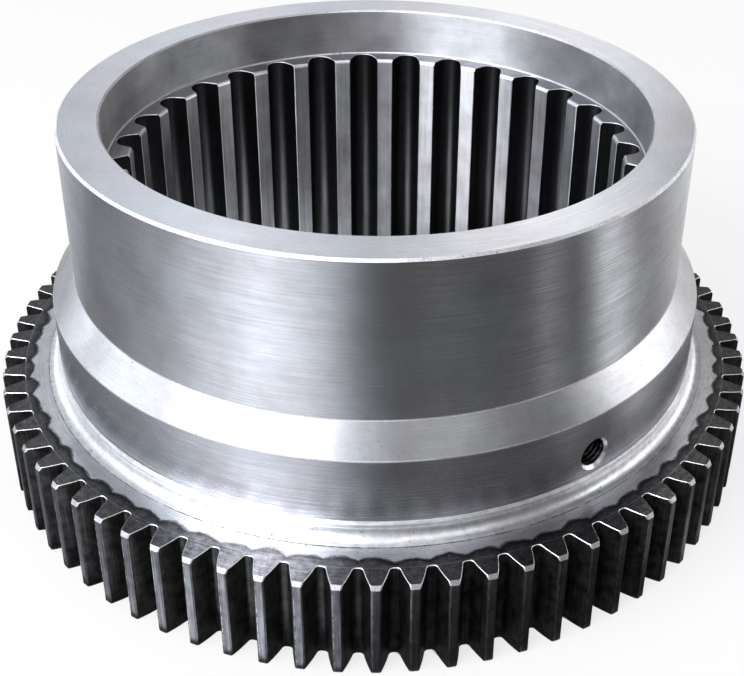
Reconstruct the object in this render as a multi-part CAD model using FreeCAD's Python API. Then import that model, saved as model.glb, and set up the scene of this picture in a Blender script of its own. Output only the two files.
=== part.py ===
"""Internal ring gear in one piece of steel.

A spur gear stands at the foot of a stepped hub, and the hub's bore holds an
internal involute spline below a plain counterbore. The axis is Z and the
origin is the centre of the bottom face. Lengths are in mm, angles in degrees.
"""
import FreeCAD, Part
import math
import os

# Heights above the bottom face
TOTAL_HEIGHT = 142.5
SHOULDER_TOP = 81.5
SHOULDER_FOOT = 71.5
LEDGE_TOP = 46.2
LEDGE_FOOT = 45.7
COUNTERBORE_DEPTH = 20.8

# Outside radii of the hub
COLLAR_RADIUS = 121.75
HUB_RADIUS = 130.7
FOOT_RADIUS = 131.6
FOOT_FILLET = 4.3
RUNOUT_STEP = 0.25

# Radii and edges of the bore
COUNTERBORE_RADIUS = 106.1
COUNTERBORE_CORNER = 0.4
COLLAR_OUTER_CHAMFER = 0.9
COLLAR_INNER_CHAMFER = 0.7

# Spur gear
GEAR_MODULE = 4.0
GEAR_TEETH = 75
GEAR_PRESSURE_ANGLE = 20.0
GEAR_WIDTH = 39.25
GEAR_DEDENDUM = 4.75
GEAR_ROOT_CORNER = 1.1
GEAR_TIP_CHAMFER_RADIAL = 1.0
GEAR_TIP_CHAMFER_AXIAL = 1.5
GEAR_TURN = -0.28

# Internal spline
SPLINE_MODULE = 6.5
SPLINE_TEETH = 31
SPLINE_PRESSURE_ANGLE = 25.0
SPLINE_TIP_RADIUS = 96.9
SPLINE_ROOT_RADIUS = 104.7
SPLINE_LEAD_RADIAL = 0.8
SPLINE_LEAD_AXIAL = 1.5
SPLINE_TURN = 88.54

# Radial screw hole in the hub
SCREW_HOLE_DIAMETER = 10.3
SCREW_HOLE_MOUTH_DIAMETER = 13.2
SCREW_HOLE_HEIGHT = 54.5
SCREW_HOLE_AZIMUTH = 35.5

# How far a cutter stands out of the surface that it enters
OVERRUN = 1.0

FULL_TURN = 360.0
GEAR_PITCH_RADIUS = GEAR_MODULE * GEAR_TEETH / 2
GEAR_TIP_RADIUS = GEAR_PITCH_RADIUS + GEAR_MODULE
GEAR_ROOT_RADIUS = GEAR_PITCH_RADIUS - GEAR_DEDENDUM
SPLINE_PITCH_RADIUS = SPLINE_MODULE * SPLINE_TEETH / 2
SPLINE_TOP = TOTAL_HEIGHT - COUNTERBORE_DEPTH

# Side on which a tooth gap opens
OUTWARD = 1
INWARD = -1


def polar(radius, angle):
    """Point in the XY plane; the angle is in radians."""
    return FreeCAD.Vector(radius * math.cos(angle), radius * math.sin(angle), 0)


def mirrored(point):
    """The point on the other side of the X axis."""
    return FreeCAD.Vector(point.x, -point.y, point.z)


def roll_of(radius, base_radius):
    """Roll angle of the involute where it crosses the radius; it starts on the base circle."""
    return math.sqrt(max(0.0, (radius / base_radius) ** 2 - 1))


class ToothGap:
    """Gap between two involute flanks, on the X axis."""

    def __init__(self, side, pitch_radius, teeth, pressure_angle, root_radius):
        pressure = math.radians(pressure_angle)
        self.side = side
        self.base_radius = pitch_radius * math.cos(pressure)
        involute = math.tan(pressure) - pressure
        self.half_angle_at_base = math.pi / (2 * teeth) - side * involute
        self.root_radius = root_radius

    def corner_place(self, corner):
        """Distance and angle of a root corner's centre, and the flank's roll there."""
        distance = self.root_radius + self.side * corner
        reach = roll_of(distance, self.base_radius)
        roll = reach - self.side * corner / self.base_radius
        angle = self.half_angle_at_base + self.side * (roll - math.atan(reach))
        return distance, angle, roll

    def full_corner(self):
        """Corner radius at which the two root corners meet on the gap's axis."""
        low = 0.0
        high = abs(self.root_radius - self.base_radius)
        steps = 40
        for _ in range(steps):
            middle = (low + high) / 2
            if self.corner_place(middle)[1] > 0:
                low = middle
            else:
                high = middle
        return low

    def flank(self, roll):
        """Point of the flank at a roll angle."""
        angle = self.half_angle_at_base + self.side * (roll - math.atan(roll))
        return polar(self.base_radius * math.hypot(1, roll), angle)

    def face(self, tip_radius, root_roll, root_edges):
        """The gap as a face: its root, a flank on each side and a radial mouth past the tips."""
        tip_roll = roll_of(tip_radius, self.base_radius)
        tip = self.flank(tip_roll)
        middle = self.flank((root_roll + tip_roll) / 2)
        contact = self.flank(root_roll)
        mouth = polar(tip_radius + self.side * OVERRUN, math.atan2(tip.y, tip.x))
        edges = [
            Part.makeLine(mouth, tip),
            Part.Arc(tip, middle, contact).toShape(),
            *root_edges,
            Part.Arc(mirrored(contact), mirrored(middle), mirrored(tip)).toShape(),
            Part.makeLine(mirrored(tip), mirrored(mouth)),
            Part.makeLine(mirrored(mouth), mouth),
        ]
        return Part.Face(Part.Wire(edges))

    def flat_root_face(self, tip_radius, corner):
        """The gap with a flat root, and a straight cut across each root corner."""
        angle, roll = self.corner_place(corner)[1:]
        contact = self.flank(roll)
        touch = polar(self.root_radius, angle)
        root_edges = [
            Part.makeLine(contact, touch),
            Part.makeLine(touch, mirrored(touch)),
            Part.makeLine(mirrored(touch), mirrored(contact)),
        ]
        return self.face(tip_radius, roll, root_edges)

    def round_root_face(self, tip_radius):
        """The gap with one arc for its root, tangent to both flanks."""
        roll = self.corner_place(self.full_corner())[2]
        contact = self.flank(roll)
        deepest = polar(self.root_radius, 0)
        root_edges = [Part.Arc(contact, deepest, mirrored(contact)).toShape()]
        return self.face(tip_radius, roll, root_edges)


def gap_cutters(face, top, count, first_angle):
    """Prisms of the gap all round the axis, from below the bottom face to the top."""
    face.translate(FreeCAD.Vector(0, 0, -OVERRUN))
    prism = face.extrude(FreeCAD.Vector(0, 0, top + OVERRUN))
    cutters = []
    for index in range(count):
        cutter = prism.copy()
        turn = first_angle + index * FULL_TURN / count
        cutter.rotate(FreeCAD.Vector(0, 0, 0), FreeCAD.Vector(0, 0, 1), turn)
        cutters.append(cutter)
    return cutters


def gear_gap_cutters():
    """Gaps of the spur gear, half a tooth round from the tooth at the front."""
    gap = ToothGap(
        OUTWARD,
        GEAR_PITCH_RADIUS,
        GEAR_TEETH,
        GEAR_PRESSURE_ANGLE,
        GEAR_ROOT_RADIUS,
    )
    face = gap.flat_root_face(GEAR_TIP_RADIUS, GEAR_ROOT_CORNER)
    front = -FULL_TURN / 4 + GEAR_TURN
    first_angle = front + FULL_TURN / (2 * GEAR_TEETH)
    return gap_cutters(face, GEAR_WIDTH + OVERRUN, GEAR_TEETH, first_angle)


def spline_gap_cutters():
    """Gaps of the internal spline, half a tooth round from the tooth at the back."""
    gap = ToothGap(
        INWARD,
        SPLINE_PITCH_RADIUS,
        SPLINE_TEETH,
        SPLINE_PRESSURE_ANGLE,
        SPLINE_ROOT_RADIUS,
    )
    face = gap.round_root_face(SPLINE_TIP_RADIUS)
    first_angle = SPLINE_TURN + FULL_TURN / (2 * SPLINE_TEETH)
    return gap_cutters(face, SPLINE_TOP + OVERRUN, SPLINE_TEETH, first_angle)


def screw_hole_cutter():
    """Radial hole with a 45 degree mouth, from outside the hub into the bore."""
    azimuth = math.radians(SCREW_HOLE_AZIMUTH - FULL_TURN / 4)
    outward = polar(1, azimuth)
    level = FreeCAD.Vector(0, 0, SCREW_HOLE_HEIGHT)
    hole_radius = SCREW_HOLE_DIAMETER / 2
    mouth_radius = SCREW_HOLE_MOUTH_DIAMETER / 2
    mouth_depth = mouth_radius - hole_radius
    inner_end = SPLINE_TIP_RADIUS * math.cos(math.asin(hole_radius / SPLINE_TIP_RADIUS))
    inner_end -= SPLINE_LEAD_RADIAL + OVERRUN
    drill = Part.makeCylinder(
        hole_radius,
        HUB_RADIUS + OVERRUN - inner_end,
        level + outward * inner_end,
        outward,
    )
    mouth = Part.makeCone(
        hole_radius,
        mouth_radius + OVERRUN,
        mouth_depth + OVERRUN,
        level + outward * (HUB_RADIUS - mouth_depth),
        outward,
    )
    return drill.fuse(mouth)


def section_point(radius, height):
    """Point of the turned section, in the XZ plane."""
    return FreeCAD.Vector(radius, 0, height)


def turned_blank():
    """The turned body before its teeth are cut, revolved about Z."""
    fillet_edge = FOOT_RADIUS + FOOT_FILLET
    seat = GEAR_WIDTH + RUNOUT_STEP
    arc_reach = FOOT_FILLET * (1 - math.sqrt(0.5))
    outside = [
        section_point(SPLINE_TIP_RADIUS + SPLINE_LEAD_RADIAL, 0),
        section_point(GEAR_TIP_RADIUS, 0),
        section_point(GEAR_TIP_RADIUS, GEAR_WIDTH - GEAR_TIP_CHAMFER_AXIAL),
        section_point(GEAR_TIP_RADIUS - GEAR_TIP_CHAMFER_RADIAL, GEAR_WIDTH),
        section_point(fillet_edge, GEAR_WIDTH),
        section_point(fillet_edge, seat),
    ]
    fillet_middle = section_point(FOOT_RADIUS + arc_reach, seat + arc_reach)
    inside = [
        section_point(FOOT_RADIUS, seat + FOOT_FILLET),
        section_point(FOOT_RADIUS, LEDGE_FOOT),
        section_point(HUB_RADIUS, LEDGE_TOP),
        section_point(HUB_RADIUS, SHOULDER_FOOT),
        section_point(COLLAR_RADIUS, SHOULDER_TOP),
        section_point(COLLAR_RADIUS, TOTAL_HEIGHT - COLLAR_OUTER_CHAMFER),
        section_point(COLLAR_RADIUS - COLLAR_OUTER_CHAMFER, TOTAL_HEIGHT),
        section_point(COUNTERBORE_RADIUS + COLLAR_INNER_CHAMFER, TOTAL_HEIGHT),
        section_point(COUNTERBORE_RADIUS, TOTAL_HEIGHT - COLLAR_INNER_CHAMFER),
        section_point(COUNTERBORE_RADIUS, SPLINE_TOP + COUNTERBORE_CORNER),
        section_point(COUNTERBORE_RADIUS - COUNTERBORE_CORNER, SPLINE_TOP),
        section_point(SPLINE_TIP_RADIUS + SPLINE_LEAD_RADIAL, SPLINE_TOP),
        section_point(SPLINE_TIP_RADIUS, SPLINE_TOP - SPLINE_LEAD_AXIAL),
        section_point(SPLINE_TIP_RADIUS, SPLINE_LEAD_AXIAL),
        outside[0],
    ]
    edges = [Part.makeLine(start, end) for start, end in zip(outside, outside[1:])]
    edges.append(Part.Arc(outside[-1], fillet_middle, inside[0]).toShape())
    edges += [Part.makeLine(start, end) for start, end in zip(inside, inside[1:])]
    section = Part.Face(Part.Wire(edges))
    return section.revolve(
        FreeCAD.Vector(0, 0, 0), FreeCAD.Vector(0, 0, 1), FULL_TURN
    )


def ring_gear():
    """The finished piece: the turned blank with its teeth, spline and screw hole."""
    cutters = gear_gap_cutters() + spline_gap_cutters() + [screw_hole_cutter()]
    return turned_blank().cut(cutters).Solids[0]


os.makedirs("parts", exist_ok=True)
ring_gear().exportStep("parts/ring_gear.step")
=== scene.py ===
"""Dresses the internal ring gear: its finished steel skin, a plain floor, soft light and the camera.

Sizes are in millimetres and angles in degrees until a mesh, a lamp or the camera is made.
"""
import logging
import math
from dataclasses import dataclass, field
from enum import Enum

import bmesh
import bpy
from mathutils import Matrix, Vector


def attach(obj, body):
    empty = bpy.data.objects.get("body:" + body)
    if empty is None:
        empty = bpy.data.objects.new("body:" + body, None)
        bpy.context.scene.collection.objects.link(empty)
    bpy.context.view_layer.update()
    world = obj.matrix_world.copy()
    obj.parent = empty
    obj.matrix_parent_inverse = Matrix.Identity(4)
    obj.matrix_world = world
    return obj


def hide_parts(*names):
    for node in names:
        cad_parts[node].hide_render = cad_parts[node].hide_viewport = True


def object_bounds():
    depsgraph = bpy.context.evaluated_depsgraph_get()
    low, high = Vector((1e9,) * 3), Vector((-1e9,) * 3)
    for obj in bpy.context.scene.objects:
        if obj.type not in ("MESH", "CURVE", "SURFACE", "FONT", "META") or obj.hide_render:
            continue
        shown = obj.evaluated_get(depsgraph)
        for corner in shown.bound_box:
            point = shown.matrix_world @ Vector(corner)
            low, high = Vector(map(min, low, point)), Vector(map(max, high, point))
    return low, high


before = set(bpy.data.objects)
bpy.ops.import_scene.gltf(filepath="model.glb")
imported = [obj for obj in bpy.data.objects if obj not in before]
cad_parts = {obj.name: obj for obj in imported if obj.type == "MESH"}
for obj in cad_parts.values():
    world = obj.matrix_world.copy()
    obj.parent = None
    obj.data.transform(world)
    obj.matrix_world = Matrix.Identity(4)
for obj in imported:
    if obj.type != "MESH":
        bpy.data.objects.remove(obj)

CAD_LOW, CAD_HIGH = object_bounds()
CAD_NODE = "ring_gear"

MM = 0.001
FULL_TURN = 2 * math.pi
DEGREES_ROUND = 360
TOTAL_HEIGHT = (CAD_HIGH.z - CAD_LOW.z) / MM
COUNTERBORE_DEPTH = 20.8
WHITE = (1.0, 1.0, 1.0)

Pair = tuple[float, float]
Colour = tuple[float, float, float]
Polar = tuple[float, float, float]
Socket = bpy.types.NodeSocket

log = logging.getLogger("ring_gear")


def placed(name: str, data: bpy.types.ID) -> bpy.types.Object:
    """Puts data into the scene.

    Args:
        name: Name of the new object.
        data: Its mesh, lamp or camera.

    Returns:
        The object.
    """
    thing = bpy.data.objects.new(name, data)
    bpy.context.scene.collection.objects.link(thing)
    return thing


class Zone(Enum):
    """Stretch of the gear's surface that has a finish of its own."""

    COLLAR = "collar_wall"
    HUB = "hub_wall"
    CONE = "shoulder_cone"
    END_FACE = "end_face"
    EDGE = "broken_edge"
    FILLET = "foot_fillet"
    LEDGE = "foot_ledge"
    GROOVE = "foot_groove"
    FLANGE = "gear_face"
    UNDERSIDE = "underside"
    TIP_CHAMFER = "tooth_tip_chamfer"
    LAND = "tooth_land"
    TOOTH_EDGE = "tooth_edge"
    TIP_BEVEL = "tooth_tip_bevel"
    FLANK = "tooth_flank"
    BORE = "counterbore_wall"
    SPLINE_FACE = "spline_face"
    SPLINE_LEAD = "spline_lead"
    SPLINE_LAND = "spline_land"
    SPLINE_FLANK = "spline_flank"
    HOLE_MOUTH = "hole_mouth"
    HOLE_THREAD = "hole_thread"


ZONES = list(Zone)


def unwrapped(angles: list[float], start: float) -> list[float]:
    """Angles as a rising sequence.

    Args:
        angles: Angles of a closed ring, in turning order, in radians.
        start: Angle near which the sequence begins.

    Returns:
        The same angles plus the first one a full turn later.
    """
    first = start + math.remainder(angles[0] - start, FULL_TURN)
    rising = [first]
    for angle in angles[1:]:
        rising.append(rising[-1] + (angle - rising[-1]) % FULL_TURN)
    rising.append(first + FULL_TURN)
    return rising


@dataclass
class Skin:
    """Closed surface that is woven from rings of points round the axis.

    Args:
        places: Radius, angle in radians and height of each point.
        faces: Point numbers of each face.
        zones: Zone of each face.
    """

    places: list[Polar] = field(default_factory=list)
    faces: list[tuple[int, ...]] = field(default_factory=list)
    zones: list[Zone] = field(default_factory=list)

    def ring(self, places: list[Polar]) -> list[int]:
        """Adds a ring of points.

        Args:
            places: The ring's points in turning order.

        Returns:
            Their numbers.
        """
        first = len(self.places)
        self.places.extend(places)
        return list(range(first, len(self.places)))

    def circle(self, radius: float, height: float, count: int) -> list[int]:
        """Adds a plain circle.

        Args:
            radius: Its radius.
            height: Its height.
            count: How many points it has.

        Returns:
            The points' numbers.
        """
        step = FULL_TURN / count
        return self.ring([(radius, index * step, height) for index in range(count)])

    def face(self, corners: tuple[int, ...], zone: Zone) -> None:
        """Adds one face.

        Args:
            corners: Point numbers.
            zone: Its zone.
        """
        self.faces.append(corners)
        self.zones.append(zone)

    def bridge(self, lower: list[int], upper: list[int], zones: list[Zone]) -> None:
        """Joins two rings of as many points by quads.

        Args:
            lower: One ring.
            upper: The other ring.
            zones: Zone of each step round the ring, repeated as often as it takes.
        """
        count = len(lower)
        for index in range(count):
            following = (index + 1) % count
            corners = (lower[index], lower[following], upper[following], upper[index])
            self.face(corners, zones[index % len(zones)])

    def zip(self, outer: list[int], inner: list[int], zone: Zone) -> None:
        """Joins two rings of different numbers of points by triangles.

        Args:
            outer: One ring.
            inner: The other ring.
            zone: Zone of the triangles.
        """
        start = self.places[outer[0]][1]
        offsets = [abs(math.remainder(self.places[index][1] - start, FULL_TURN)) for index in inner]
        nearest = offsets.index(min(offsets))
        inner = inner[nearest:] + inner[:nearest]
        outer_angles = unwrapped([self.places[index][1] for index in outer], start)
        inner_angles = unwrapped([self.places[index][1] for index in inner], start)
        outer_step = 0
        inner_step = 0
        while outer_step < len(outer) or inner_step < len(inner):
            here = outer[outer_step % len(outer)]
            there = inner[inner_step % len(inner)]
            inner_done = inner_step == len(inner)
            outer_left = outer_step < len(outer)
            if inner_done or (outer_left and outer_angles[outer_step + 1] <= inner_angles[inner_step + 1]):
                outer_step += 1
                self.face((here, outer[outer_step % len(outer)], there), zone)
            else:
                inner_step += 1
                self.face((here, inner[inner_step % len(inner)], there), zone)

    def turn(self, profile: list[tuple[float, float, Zone]], start: list[int], count: int) -> list[int]:
        """Revolves a profile about the axis.

        Args:
            profile: Radius, height and zone of the stretch that ends there.
            start: Ring from which the profile goes on.
            count: Points of each circle.

        Returns:
            The last circle.
        """
        last = start
        for radius, height, zone in profile:
            circle = self.circle(radius, height, count)
            self.bridge(last, circle, [zone])
            last = circle
        return last

    def mesh(self, name: str) -> bpy.types.Mesh:
        """Makes the mesh, in metres, with every normal outwards.

        Args:
            name: The mesh's name.

        Returns:
            The mesh, whose material numbers follow the order of the zones.
        """
        corners = [
            (radius * math.cos(angle) * MM, radius * math.sin(angle) * MM, height * MM)
            for radius, angle, height in self.places
        ]
        mesh = bpy.data.meshes.new(name)
        mesh.from_pydata(corners, [], self.faces)
        mesh.polygons.foreach_set("material_index", [ZONES.index(zone) for zone in self.zones])
        shape = bmesh.new()
        shape.from_mesh(mesh)
        bmesh.ops.recalc_face_normals(shape, faces=shape.faces)
        shape.to_mesh(mesh)
        shape.free()
        return mesh


class Part(Enum):
    """Part of a tooth's outline."""

    ROOT = "root"
    FLANK = "flank"
    BEVEL = "corner between flank and land"
    # The strip beside that corner is painted bright, partly as wear and partly as a painted edge highlight.
    WORN = "worn line beside that corner"
    FAR_WORN = "worn line on the tooth's other side"
    LAND = "land"


@dataclass(frozen=True)
class Station:
    """Point of a tooth's outline.

    Args:
        x: Place along the tooth gap's axis.
        y: Place across it.
        part: Part of the outline that starts here.
    """

    x: float
    y: float
    part: Part


def on_circle(radius: float, angle: float, part: Part) -> Station:
    """Station on a circle round the gear's axis, at an angle in radians."""
    return Station(radius * math.cos(angle), radius * math.sin(angle), part)


@dataclass(frozen=True)
class ToothRow:
    """Involute teeth round a circle.

    Args:
        side: 1 for outside teeth, -1 for inside teeth.
        teeth: Number of teeth.
        module: Pitch circle diameter over the number of teeth.
        pressure_angle: Pressure angle.
        root_radius: Radius of the root circle.
        root_corner: Radius between flank and root; None for one arc from flank to flank.
        first_gap: Azimuth of a gap's axis.
        bevel: Width that is taken off the corner between flank and land.
        edge_strip: Width of the strip beside that bevel; on one side of each tooth it is painted bright,
            partly as wear and partly as a painted edge highlight.
        root_steps: Points along half a root.
        corner_steps: Points along a root corner.
        flank_steps: Points along a flank.
        land_steps: Points along half a land.
    """

    side: int
    teeth: int
    module: float
    pressure_angle: float
    root_radius: float
    root_corner: float | None
    first_gap: float
    bevel: float
    edge_strip: float = 0.12
    root_steps: int = 2
    corner_steps: int = 6
    flank_steps: int = 8
    land_steps: int = 2

    @property
    def pitch(self) -> float:
        """Angle from one tooth to the next, in radians."""
        return FULL_TURN / self.teeth

    @property
    def base_radius(self) -> float:
        """Radius of the base circle."""
        return self.module * self.teeth / 2 * math.cos(math.radians(self.pressure_angle))

    @property
    def base_angle(self) -> float:
        """Half of a gap's angle on the base circle."""
        pressure = math.radians(self.pressure_angle)
        return self.pitch / 4 - self.side * (math.tan(pressure) - pressure)

    def roll(self, radius: float) -> float:
        """Roll angle of the involute at a radius."""
        return math.sqrt(max(0.0, (radius / self.base_radius) ** 2 - 1))

    def flank(self, roll: float) -> Pair:
        """Point of the flank.

        Args:
            roll: Roll angle, in radians.

        Returns:
            Its place along and across the gap's axis.
        """
        angle = self.base_angle + self.side * (roll - math.atan(roll))
        radius = self.base_radius * math.hypot(1, roll)
        return radius * math.cos(angle), radius * math.sin(angle)

    def corner(self, radius: float) -> tuple[float, float, float]:
        """Root corner of a radius.

        Args:
            radius: The corner's radius.

        Returns:
            Distance and angle of its centre, and the flank's roll where it ends.
        """
        distance = self.root_radius + self.side * radius
        reach = self.roll(distance)
        roll = reach - self.side * radius / self.base_radius
        return distance, self.base_angle + self.side * (roll - math.atan(reach)), roll

    def full_corner(self) -> float:
        """Finds the corner radius at which the gap's two root corners become one arc.

        Returns:
            The radius.
        """
        low = 0.0
        high = abs(self.root_radius - self.base_radius)
        halvings = 40
        for _ in range(halvings):
            middle = (low + high) / 2
            if self.corner(middle)[1] > 0:
                low = middle
            else:
                high = middle
        return low

    def half_outline(self, tip_radius: float) -> list[Station]:
        """Outline from a gap's axis to the next tooth's axis.

        Args:
            tip_radius: Radius of the land.

        Returns:
            The stations; the last one lies on the tooth's axis.
        """
        full = self.full_corner()
        radius = full if self.root_corner is None else min(self.root_corner, full)
        distance, angle, roll = self.corner(radius)
        centre = (distance * math.cos(angle), distance * math.sin(angle))
        stations = []
        if self.root_corner is not None:
            for step in range(self.root_steps):
                stations.append(on_circle(self.root_radius, angle * step / self.root_steps, Part.ROOT))
        contact = self.flank(roll)
        start = angle + (math.pi if self.side > 0 else 0)
        end = math.atan2(contact[1] - centre[1], contact[0] - centre[0])
        sweep = math.remainder(end - start, FULL_TURN)
        for step in range(self.corner_steps):
            here = start + sweep * step / self.corner_steps
            x, y = centre[0] + radius * math.cos(here), centre[1] + radius * math.sin(here)
            stations.append(Station(x, y, Part.ROOT))
        last_roll = self.roll(tip_radius - self.side * self.bevel)
        for step in range(self.flank_steps):
            here = roll + (last_roll - roll) * step / self.flank_steps
            stations.append(Station(*self.flank(here), Part.FLANK))
        stations.append(Station(*self.flank(last_roll), Part.BEVEL))
        tip = self.flank(self.roll(tip_radius))
        bevel_end = math.atan2(tip[1], tip[0]) + self.bevel / tip_radius
        stations.append(on_circle(tip_radius, bevel_end, Part.WORN))
        land = bevel_end + self.edge_strip / tip_radius
        for step in range(self.land_steps + 1):
            here = land + (self.pitch / 2 - land) * step / self.land_steps
            stations.append(on_circle(tip_radius, here, Part.LAND))
        return stations

    def outline(self, tip_radius: float) -> tuple[list[Pair], list[Part]]:
        """The whole toothed outline.

        Args:
            tip_radius: Radius of the lands.

        Returns:
            The points in turning order, and the part of each step of one pitch.
        """
        half = self.half_outline(tip_radius)
        points = [(math.hypot(s.x, s.y), math.atan2(s.y, s.x)) for s in half]
        mirrored = [(radius, self.pitch - angle) for radius, angle in points[-2:0:-1]]
        parts = [s.part for s in half[:-1]]
        parts += [Part.FAR_WORN if part is Part.WORN else part for part in parts[::-1]]
        gap = math.radians(self.first_gap)
        ring = []
        for tooth in range(self.teeth):
            turn = gap + tooth * self.pitch
            for radius, angle in points + mirrored:
                ring.append((radius * math.cos(turn + angle), radius * math.sin(turn + angle)))
        return ring, parts

    def ring(
        self, skin: Skin, tip_radius: float, height: float, inset: float, land_inset: float | None = None
    ) -> list[int]:
        """Adds the toothed outline to the skin.

        Args:
            skin: The skin.
            tip_radius: Radius of the lands.
            height: Height of the ring.
            inset: How far the ring lies inside the outline, on the steel's side.
            land_inset: The same for the lands, if they differ.

        Returns:
            The points' numbers.
        """
        points, parts = self.outline(tip_radius)
        land_inset = inset if land_inset is None else land_inset
        places = []
        for index, (x, y) in enumerate(points):
            before = points[index - 1]
            after = points[(index + 1) % len(points)]
            inward = inward_miter(before, (x, y), after, self.side)
            beside = {parts[index % len(parts)], parts[index % len(parts) - 1]}
            on_land = beside & {Part.LAND, Part.WORN, Part.FAR_WORN}
            depth = land_inset if on_land else inset
            moved = (x + inward[0] * depth, y + inward[1] * depth)
            places.append((math.hypot(*moved), math.atan2(moved[1], moved[0]), height))
        return skin.ring(places)


def inward_miter(before: Pair, here: Pair, after: Pair, side: int) -> Pair:
    """Direction in which an outline's corner moves when the outline is inset by one.

    Args:
        before: The corner before.
        here: The corner.
        after: The corner after.
        side: 1 where the steel is on the left of the outline, -1 on the right.

    Returns:
        The move.
    """
    first = Vector(here) - Vector(before)
    second = Vector(after) - Vector(here)
    first_normal = Vector((-first.y, first.x)).normalized() * side
    second_normal = Vector((-second.y, second.x)).normalized() * side
    bisector = (first_normal + second_normal).normalized()
    longest = 2.0
    move = bisector * min(longest, 1 / max(bisector.dot(first_normal), 1 / longest))
    return move.x, move.y


@dataclass(frozen=True)
class SpurGear:
    """The outside teeth and their lower and upper edges.

    Args:
        row: The teeth.
        tip_radius: Radius of the lands.
        width: Height of the gear's face.
        chamfer_radial: Depth of the tip chamfer.
        chamfer_axial: Height of the tip chamfer.
        lower_break: Size of the broken lower edge.
        upper_break: Size of the broken edge round each tooth's top.
        inner_radius: Radius at which the gear's face becomes a plain circle.
    """

    row: ToothRow
    tip_radius: float = 154.0
    width: float = 39.25
    chamfer_radial: float = 1.0
    chamfer_axial: float = 1.5
    lower_break: float = 0.12
    upper_break: float = 0.2
    inner_radius: float = 144.3

    def zones(self, land: Zone, bevel: Zone, edge_strip: Zone) -> list[Zone]:
        """Zones of one pitch.

        Args:
            land: Zone of the lands.
            bevel: Zone of the bevels beside them.
            edge_strip: Zone of the strip on one side, which is partly wear and partly a painted edge
                highlight.

        Returns:
            The zone of each step.
        """
        by_part = {
            Part.ROOT: Zone.FLANK,
            Part.FLANK: Zone.FLANK,
            Part.BEVEL: bevel,
            Part.WORN: edge_strip,
            Part.FAR_WORN: bevel,
            Part.LAND: land,
        }
        return [by_part[part] for part in self.row.outline(self.tip_radius)[1]]

    def weave(self, skin: Skin) -> tuple[list[int], list[int]]:
        """Adds the teeth.

        Args:
            skin: The skin.

        Returns:
            The lowest ring, and the circle inside the teeth on the gear's face.
        """
        chamfer_foot = self.width - self.chamfer_axial
        below_top = self.width - self.upper_break
        slope = self.chamfer_radial / self.chamfer_axial
        near_top = self.tip_radius - slope * (below_top - chamfer_foot)
        top = self.tip_radius - self.chamfer_radial
        bottom = self.row.ring(skin, self.tip_radius, 0, self.lower_break)
        lands = self.zones(Zone.LAND, Zone.TIP_BEVEL, Zone.TOOTH_EDGE)
        chamfer = self.zones(Zone.TIP_CHAMFER, Zone.EDGE, Zone.EDGE)
        upper_edge = [
            Zone.EDGE if zone is Zone.FLANK else Zone.TIP_CHAMFER
            for zone in self.zones(Zone.TIP_CHAMFER, Zone.FLANK, Zone.TIP_CHAMFER)
        ]
        rows = [
            (self.tip_radius, self.lower_break, 0.0, None, [Zone.TOOTH_EDGE]),
            (self.tip_radius, chamfer_foot, 0.0, None, lands),
            (near_top, below_top, 0.0, None, chamfer),
            (top, self.width, self.upper_break, 0.0, upper_edge),
        ]
        last = bottom
        for tip_radius, height, inset, land_inset, zones in rows:
            ring = self.row.ring(skin, tip_radius, height, inset, land_inset)
            skin.bridge(last, ring, zones)
            last = ring
        inner = skin.ring([(self.inner_radius, skin.places[index][1], self.width) for index in last])
        skin.bridge(last, inner, [Zone.FLANGE])
        return bottom, inner


@dataclass(frozen=True)
class Spline:
    """The inside teeth and their leads.

    Args:
        row: The teeth.
        tip_radius: Radius of the lands.
        top: Height of the teeth's upper face.
        lead_radial: Depth of the lead chamfer.
        lead_axial: Height of the lead chamfer.
        edge_break: Size of the broken edge round each tooth's face.
        outer_radius: Radius at which the faces become plain circles.
    """

    row: ToothRow
    top: float
    tip_radius: float = 96.9
    lead_radial: float = 0.8
    lead_axial: float = 1.5
    edge_break: float = 0.22
    outer_radius: float = 105.35

    def zones(self, land: Zone) -> list[Zone]:
        """Zone of each step of one pitch, with the land's zone as given."""
        parts = self.row.outline(self.tip_radius)[1]
        return [Zone.SPLINE_FLANK if part in {Part.ROOT, Part.FLANK} else land for part in parts]

    def weave(self, skin: Skin) -> tuple[list[int], list[int]]:
        """Adds the teeth.

        Args:
            skin: The skin.

        Returns:
            The plain circles round the teeth on the lower and the upper face.
        """
        slope = self.lead_radial / self.lead_axial
        opened = self.tip_radius + self.lead_radial
        near = opened - slope * self.edge_break
        rows = [
            (opened, 0.0, self.edge_break, []),
            (near, self.edge_break, 0.0, [Zone.EDGE]),
            (self.tip_radius, self.lead_axial, 0.0, self.zones(Zone.SPLINE_LEAD)),
            (self.tip_radius, self.top - self.lead_axial, 0.0, self.zones(Zone.SPLINE_LAND)),
            (near, self.top - self.edge_break, 0.0, self.zones(Zone.SPLINE_LEAD)),
            (opened, self.top, self.edge_break, [Zone.EDGE]),
        ]
        rings = []
        for tip_radius, height, inset, zones in rows:
            ring = self.row.ring(skin, tip_radius, height, inset)
            if rings:
                skin.bridge(rings[-1], ring, zones)
            rings.append(ring)
        circles = []
        for ring, height, zone in (
            (rings[0], 0.0, Zone.UNDERSIDE),
            (rings[-1], self.top, Zone.SPLINE_FACE),
        ):
            circle = skin.ring([(self.outer_radius, skin.places[index][1], height) for index in ring])
            skin.bridge(ring, circle, [zone])
            circles.append(circle)
        return circles[0], circles[1]


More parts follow.
